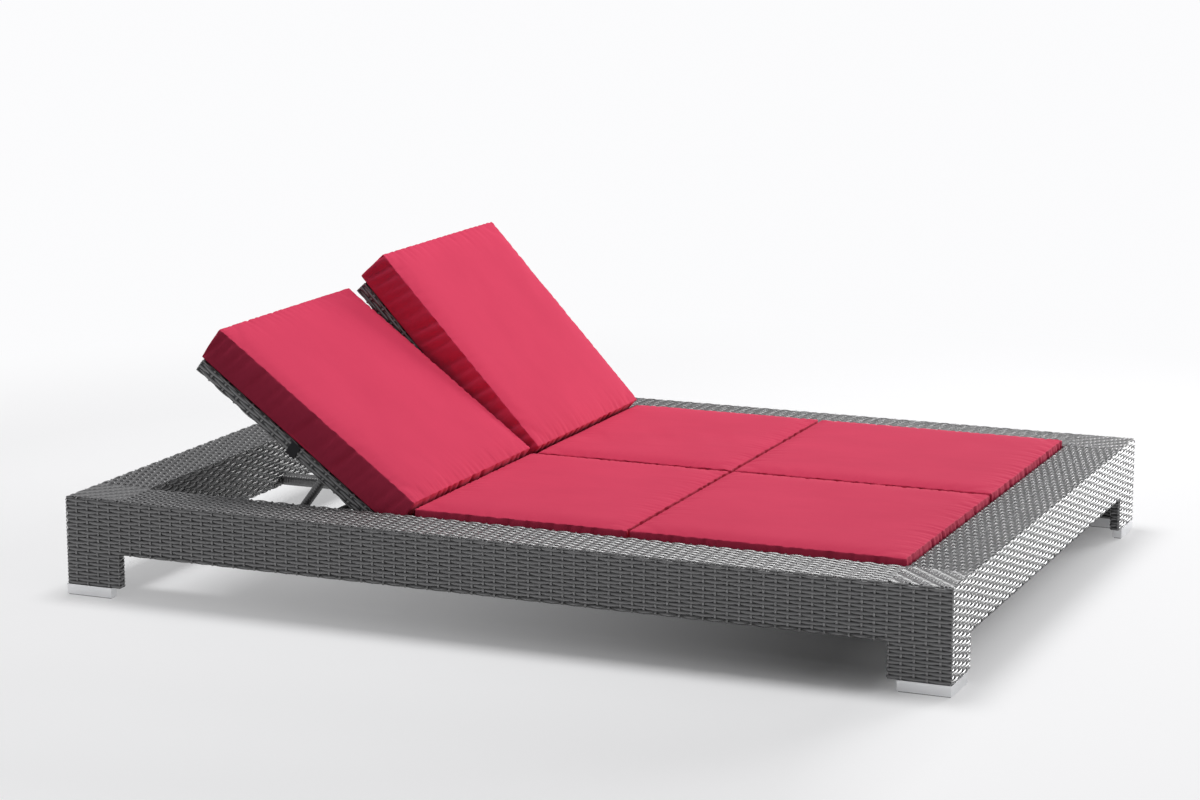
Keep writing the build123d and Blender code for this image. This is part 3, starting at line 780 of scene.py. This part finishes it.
def raspberry_cloth():
    """Dyed polyester canvas, a little uneven from handling, sewn and gathered at its edges, with painted shade
    along its top seam.
    """
    finish = Finish("raspberry_cloth")
    cut = finish.node("ShaderNodeAttribute", {"attribute_name": "cut"}, None, "Vector")
    seams = finish.node("ShaderNodeAttribute", {"attribute_name": "seams"}, None, "Vector")
    from_side = finish.node("ShaderNodeSeparateXYZ", None, {0: seams}, "X")
    from_end = finish.node("ShaderNodeSeparateXYZ", None, {0: seams}, "Y")
    from_top = finish.node("ShaderNodeSeparateXYZ", None, {0: seams}, "Z")

    def fading(distance, fade):
        """Share that falls off with a distance, to a third after one part in fade of a metre."""
        return 2.718 ** (distance * -fade)

    threads = finish.noise(cut, (1300, 1300, 1300), detail=1.0)
    handling = finish.noise(cut, (6, 4, 6), detail=4.0, roughness=0.55)
    creases = finish.noise(cut, (30, 11, 30), detail=3.0, roughness=0.55)
    side_gathers = finish.noise(cut, (14, 110, 14), detail=2.0) * fading(from_side, gather_fade)
    end_gathers = finish.noise(cut, (110, 14, 14), detail=2.0) * fading(from_end, gather_fade)
    # Along the top seam the cloth dips in and is painted darker: painted shade in the seam's groove.
    seam_groove_and_shade = fading(abs(from_top), stitch_fade)
    relief = threads * 0.05 + creases * 0.5 + (side_gathers + end_gathers) * 2.2 - seam_groove_and_shade * 0.8
    shade = handling * 1.2 - seam_groove_and_shade * 0.3
    return finish.surface(
        Base_Color=finish.blend(shade, (0.585, 0.040, 0.096), (0.680, 0.054, 0.120)),
        Roughness=0.78 + threads * 0.12,
        Specular_IOR_Level=0.08,
        Sheen_Weight=0.03,
        Sheen_Roughness=0.4,
        Normal=finish.bump(relief, 1.0 * mm, 0.8),
    )


cushion_cloth = raspberry_cloth()


def pad_shell(name, low, high):
    """Closed box of even cells with rounded edges, as an object and its points."""
    low, high = np.array(low), np.array(high)
    ring = seam_ring_share * seam_round
    lines = []
    for a, b in zip(low, high):
        cells = max(2, round((b - a) / cell))
        inner = np.linspace(a + seam_round, b - seam_round, cells + 1)
        lines.append(np.concatenate([[a, a + ring], inner, [b - ring, b]]))
    quads = []
    for axis in range(3):
        first, second = (axis + 1) % 3, (axis + 2) % 3
        counts = np.arange(len(lines[first]) - 1), np.arange(len(lines[second]) - 1)
        i, j = np.meshgrid(*counts, indexing="ij")
        for end in (0, len(lines[axis]) - 1):
            corners = np.zeros((i.size, 4, 3), int)
            corners[..., axis] = end
            corners[..., first] = i.reshape(-1, 1) + np.array([0, 1, 1, 0])
            corners[..., second] = j.reshape(-1, 1) + np.array([0, 0, 1, 1])
            quads.append(corners if end else corners[:, ::-1])
    corners = np.concatenate(quads).reshape(-1, 3)
    places, numbers = np.unique(corners, axis=0, return_inverse=True)
    points = np.stack([lines[axis][places[:, axis]] for axis in range(3)], axis=-1)
    core = np.clip(points, low + seam_round, high - seam_round)
    away = points - core
    points = core + away / np.linalg.norm(away, axis=1, keepdims=True) * seam_round
    mesh = bpy.data.meshes.new(name)
    mesh.from_pydata(points.tolist(), [], numbers.reshape(-1, 4).tolist())
    return new_object(name, mesh), points


def swollen(made, start):
    """Points of a shell once its cloth is blown up between its bottom and its top seam."""
    pinned = made.vertex_groups.new(name="pinned")
    low, high = start.min(axis=0), start.max(axis=0)
    edge = np.stack([start - low, high - start]).min(axis=0)[:, :2].min(axis=1)
    at_top_seam = (start[:, 2] > high[2] - seam_held) & (edge < seam_held)
    held = (start[:, 2] < low[2] + seam_held) | at_top_seam
    pinned.add([int(number) for number in np.nonzero(held)[0]], 1.0, "REPLACE")
    cloth = made.modifiers.new("cloth", "CLOTH")
    cloth.settings.vertex_group_mass = "pinned"
    cloth.settings.use_pressure = True
    cloth.settings.uniform_pressure_force = pressure
    cloth.settings.shrink_min = slack
    cloth.settings.effector_weights.gravity = 0
    cloth.settings.quality = cloth_quality
    for number in range(1, last_frame + 1):
        bpy.context.scene.frame_set(number)
    seen = made.evaluated_get(bpy.context.evaluated_depsgraph_get())
    moved = np.zeros(start.size)
    seen.data.vertices.foreach_get("co", moved)
    made.modifiers.clear()
    made.vertex_groups.clear()
    bpy.context.scene.frame_set(1)
    return moved.reshape(-1, 3)


def ripple(along, wave):
    """Uneven waves of about one length, from 0 to 1, mostly 0."""
    rates = dice.uniform(*ripple_rates, ripple_waves) / wave
    phases = dice.uniform(0, 2 * pi, ripple_waves)
    waves = np.cos(2 * pi * np.multiply.outer(along, rates) + phases)
    return np.clip(waves.sum(axis=-1) / (ripple_waves / 2), 0, 1)


def stuffed(name, low, high, caps, strap=None):
    """A boxed pad between two corners: swollen as cloth within caps, then gathered at its seams."""
    low, high, caps = np.array(low), np.array(high), np.array(caps)
    made, start = pad_shell(name, low + caps * (1, 1, 0), high - caps)
    moved = swollen(made, start)
    points = start + caps * np.tanh((moved - start) / caps)
    made.data.vertices.foreach_set("co", points.ravel())
    smooth = made.modifiers.new("smooth", "SUBSURF")
    smooth.levels = smooth.render_levels = 1
    bpy.context.view_layer.objects.active = made
    bpy.ops.object.modifier_apply(modifier="smooth")

    mesh = made.data
    cut = np.zeros(3 * len(mesh.vertices))
    mesh.vertices.foreach_get("co", cut)
    cut = cut.reshape(-1, 3)
    faces = np.zeros(cut.size)
    mesh.vertex_normals.foreach_get("vector", faces)
    faces = faces.reshape(-1, 3)
    edge = np.clip(np.stack([cut - low, high - cut]).min(axis=0), 0, None)
    on_top = np.clip(faces[:, 2], 0, 1)
    on_side = 1 - np.abs(faces[:, 2])
    x, y, z = cut.T
    rise = (z - low[2]) / (high[2] - low[2])

    side_gathers = ripple(y + gather_slant * x, gather_wave) * np.exp(-edge[:, 0] / gather_reach)
    end_gathers = ripple(x + gather_slant * y, gather_wave) * np.exp(-edge[:, 1] / gather_reach)
    depth = gather_depth * np.maximum(side_gathers, end_gathers) * on_top
    along = np.where(np.abs(faces[:, 0]) > np.abs(faces[:, 1]), y, x)
    wrinkles = ripple(along + wrinkle_slant * z, wrinkle_wave)
    depth += wrinkle_depth * wrinkles * on_side * np.sin(pi * np.clip(rise, 0, 1)) ** 0.5
    drapes = ripple(drape_heading[0] * x + drape_heading[1] * y, drape_wave)
    depth += drape_depth * drapes * ripple(x + drape_slant * y, 2 * drape_wave) * on_top
    if strap:
        strap_y, pinch, reach = strap
        depth += pinch * np.exp(-(((y - strap_y) / reach) ** 2)) * on_side * (1 - rise)
    mesh.vertices.foreach_set("co", (cut - faces * depth[:, None]).ravel())

    from_top = np.where(on_top > upward_share, edge[:, :2].min(axis=1), high[2] - caps[2] - z)
    seams = np.stack([edge[:, 0], edge[:, 1], from_top], axis=-1)
    for title, values in (("cut", cut), ("seams", seams)):
        attribute = mesh.attributes.new(title, "FLOAT_VECTOR", "POINT")
        attribute.data.foreach_set("vector", values.ravel())
    mesh.materials.append(cushion_cloth)
    mesh.shade_smooth()
    mesh.update()
    return made


for side_name, side in sides.items():
    for row_name in ("foot", "middle"):
        node = f"{row_name}_cushion_{side_name}"
        low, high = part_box(node)
        low = low + Vector((seat_side_gap, seat_side_gap, floor_gap))
        high = high - Vector((seat_side_gap, seat_side_gap, 0))
        high.y = hinge_cushion_y[side_name] if row_name == "middle" else high.y
        high.z -= seat_flatness
        pad = stuffed(f"{row_name}_pad_{side_name}", low, high, seat_swell)
        settle(pad, "platform", node)

# Back cushions.
# They're boxed like the seat cushions and a little thicker. Elastic straps hold them on the
# backrests and draw their sides in.
back_pad_low_y = {"left": 34 * mm, "right": 42 * mm}
back_pad_end = {"left": 624 * mm, "right": 635 * mm}
back_pad_top = 104 * mm
back_pad_bottom = half_bar + floor_gap
back_swell = (3.5 * mm, 7 * mm, 7 * mm)
strap_place = 326 * mm
strap_pinch = 5 * mm
strap_pinch_reach = 45 * mm
blend_length = 36 * mm

for side_name, side in sides.items():
    node = f"back_cushion_{side_name}"
    lying = back_frames[side_name]
    low_x, high_x = sorted((side * back_gap / 2, side * (bay_half_width - back_side_gap)))
    low_y = back_pad_low_y[side_name]
    low = (low_x, low_y, back_pad_bottom)
    high = (high_x, back_pad_end[side_name], back_pad_top)
    strap = strap_place, strap_pinch, strap_pinch_reach
    pad = stuffed(f"back_pad_{side_name}", low, high, back_swell, strap)
    pad.data.transform(lying)
    end = lying @ Vector((0, low_y + blend_length, 0))
    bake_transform(pad)
    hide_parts(node)

# Studio.
# Pale floor and backdrop, soft light from above, from the right and from the foot end, and the
# photograph's view.
camera_place = Vector((-6.261, -2.598, 1.732))
camera_azimuth = radians(67.03)
camera_elevation = radians(11.35)
focal_pixels = 3067
image_width_pixels = 1200
sensor_width = 36
view_reach = 100
camera_data = bpy.data.cameras.new("camera")
camera_data.sensor_width = sensor_width
camera_data.lens = sensor_width * focal_pixels / image_width_pixels
camera_data.clip_end = view_reach
camera = new_object("camera", camera_data)
camera.location = camera_place
camera.rotation_euler = (pi / 2 - camera_elevation, 0, -camera_azimuth)
bpy.context.scene.camera = camera

floor_half = 40
floor_mesh = bpy.data.meshes.new("floor")
floor_corners = [(-floor_half, -floor_half, 0), (floor_half, -floor_half, 0)]
floor_corners += [(floor_half, floor_half, 0), (-floor_half, floor_half, 0)]
floor_mesh.from_pydata(floor_corners, [], [(0, 1, 2, 3)])
floor = new_object("floor", floor_mesh)


def seen_directly(finish):
    """Share of a ray that comes straight from the camera, or through a reflection or glass."""
    direct = finish.node("ShaderNodeLightPath", None, None, "Is Camera Ray")
    glossy = finish.node("ShaderNodeLightPath", None, None, "Is Glossy Ray")
    through = finish.node("ShaderNodeLightPath", None, None, "Is Transmission Ray")
    return direct.larger(glossy).larger(through)


def pale_floor():
    """Pale floor that keeps the shadow near the lounger, is white far off, and bounces little. Towards the head
    end and past the foot end it glows a little, painted light that lightens the shadow there.
    """
    finish = Finish("pale_floor")
    pale = (0.97, 0.97, 0.98, 1)
    near = finish.node("ShaderNodeBsdfDiffuse", None, {"Color": pale})
    bounce = finish.node("ShaderNodeBsdfDiffuse", None, {"Color": (0.22, 0.22, 0.22, 1)})
    white = finish.node("ShaderNodeEmission", None, {"Color": pale, "Strength": 1.0})
    place = finish.place()
    reach = finish.node("ShaderNodeVectorMath", {"operation": "LENGTH"}, {0: place}, "Value")
    outward = finish.node("ShaderNodeMapRange", {"interpolation_type": "SMOOTHSTEP"}, {
        "Value": reach, "From Min": 1.2, "From Max": 3.2})
    along = finish.node("ShaderNodeSeparateXYZ", None, {0: place}, "Y")
    # Towards the head end and past the foot end the floor glows: painted light that lightens the lounger's shadow.
    headward_painted_light = finish.node("ShaderNodeMapRange", None, {
        "Value": along, "From Min": -0.7, "From Max": 0.9, "To Max": 0.4})
    footward_painted_light = finish.node("ShaderNodeMapRange", None, {
        "Value": along, "From Min": -0.82, "From Max": -1.1, "To Max": 0.6})
    backdrop_and_painted_light = outward.larger(headward_painted_light.larger(footward_painted_light))
    seen = finish.node("ShaderNodeMixShader", None, {0: backdrop_and_painted_light, 1: near, 2: white})
    chosen = finish.node("ShaderNodeMixShader", None, {
        0: seen_directly(finish), 1: bounce, 2: seen})
    finish.node("ShaderNodeOutputMaterial", None, {"Surface": chosen})
    return finish.material


floor_mesh.materials.append(pale_floor())


class Studio(Finish):
    """The world round the lounger, put together by expressions."""

    def __init__(self, name):
        self.world = bpy.data.worlds.new(name)
        self.world.use_nodes = True
        self.tree = self.world.node_tree
        self.tree.nodes.clear()


studio = Studio("studio")
soft_light = studio.node("ShaderNodeBackground", None, {"Color": (1, 1, 1, 1), "Strength": 0.28})
heading = studio.node("ShaderNodeTexCoord", None, None, "Generated")
height = studio.node("ShaderNodeSeparateXYZ", None, {0: heading}, "Z")
ceiling = studio.node("ShaderNodeMapRange", {"interpolation_type": "SMOOTHSTEP"}, {
    "Value": height, "From Min": 0.05, "From Max": 0.22})
wall = studio.blend(ceiling, (0.97, 0.97, 0.98), (0.30, 0.30, 0.31))
backdrop = studio.node("ShaderNodeBackground", None, {"Color": wall, "Strength": 1.0})
around = studio.node("ShaderNodeMixShader", None, {
    0: seen_directly(studio), 1: soft_light, 2: backdrop})
studio.node("ShaderNodeOutputWorld", None, {"Surface": around})
bpy.context.scene.world = studio.world


def lamp(name, place, target, size, watts):
    """Large soft lamp that faces a point."""
    data = bpy.data.lights.new(name, "AREA")
    data.shape = "DISK"
    data.size = size
    data.energy = watts
    made = new_object(name, data)
    made.location = place
    made.rotation_euler = (Vector(target) - Vector(place)).to_track_quat("-Z", "Y").to_euler()


lamp("top_light", place=(0.4, 0.5, 5.0), target=(0.2, 0, 0), size=2.4, watts=150)
lamp("foot_light", place=(-1.6, -6.4, 1.5), target=(0, 0, 0.2), size=1.4, watts=24)
lamp("right_light", place=(5.7, -3.0, 1.2), target=(0, -0.7, 0.2), size=3.2, watts=330)

bpy.context.scene.view_settings.view_transform = "Standard"
